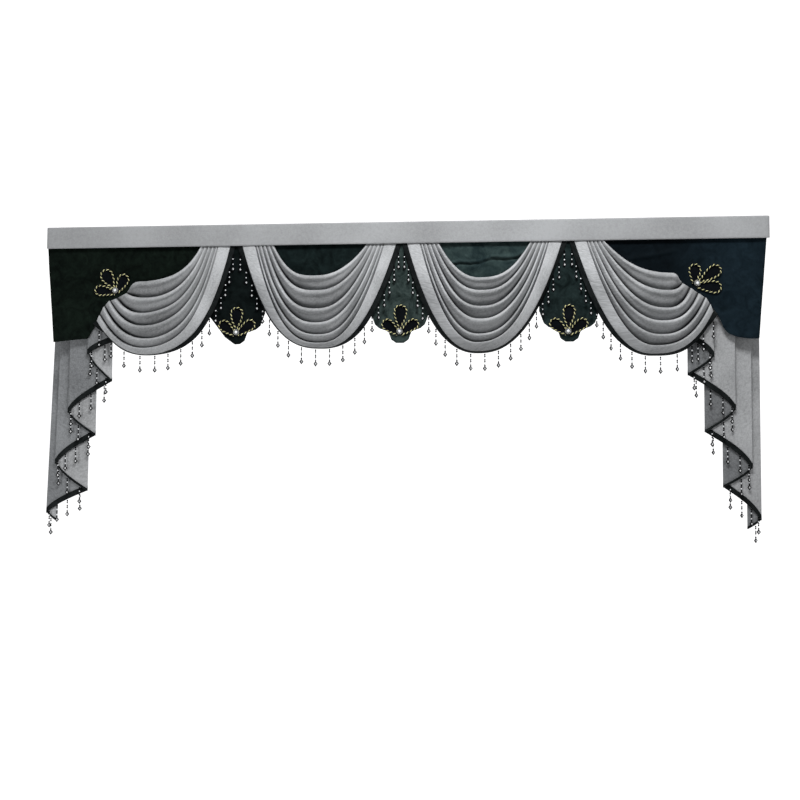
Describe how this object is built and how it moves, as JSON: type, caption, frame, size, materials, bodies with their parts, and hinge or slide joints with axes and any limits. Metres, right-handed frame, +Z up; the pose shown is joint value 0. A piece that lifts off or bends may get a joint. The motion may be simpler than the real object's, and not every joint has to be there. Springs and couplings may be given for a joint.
{
  "type": "swag valance curtain",
  "caption": "Window valance of draped swags, folded side tails and velvet pendants on a heading band, with a beaded fringe and rope flowers.",
  "frame": {"origin": "middle of the heading band's top edge, on its back face", "axes": "+X along the heading to the right as seen from the front, -Y towards the room, +Z up"},
  "size_m": [3.0185, 0.1442, 1.3205],
  "materials": {
    "grey_chenille": "soft short pile, pebbled",
    "green_velvet": "crushed velvet with sheen",
    "trim_velvet": "matt velvet",
    "gold_rope": "twisted cord of black and pale gold plies",
    "crystal": "cut and bright"
  },
  "bodies": {
    "root": {"heading_band": "grey_chenille", "swag_1": "grey_chenille", "swag_2": "grey_chenille", "swag_3": "grey_chenille", "swag_4": "grey_chenille", "tail_left": "grey_chenille", "tail_right": "grey_chenille", "panel_left": "green_velvet", "panel_mid_left": "green_velvet", "panel_mid_right": "green_velvet", "panel_right": "green_velvet", "pendant_1": "green_velvet", "pendant_2": "green_velvet", "pendant_3": "green_velvet", "swag_trim_1": "trim_velvet", "swag_trim_2": "trim_velvet", "swag_trim_3": "trim_velvet", "swag_trim_4": "trim_velvet", "tail_trim_left": "trim_velvet", "tail_trim_right": "trim_velvet", "flower_patch_end_left": "green_velvet", "flower_patch_pendant_left": "green_velvet", "flower_patch_pendant_mid": "green_velvet", "flower_patch_pendant_right": "green_velvet", "flower_patch_end_right": "green_velvet", "flower_rope_end_left": "gold_rope", "flower_rope_pendant_left": "gold_rope", "flower_rope_pendant_mid": "gold_rope", "flower_rope_pendant_right": "gold_rope", "flower_rope_end_right": "gold_rope", "crystal_end_left": "crystal", "crystal_pendant_left": "crystal", "crystal_pendant_mid": "crystal", "crystal_pendant_right": "crystal", "crystal_end_right": "crystal"}
  },
  "joints": []
}
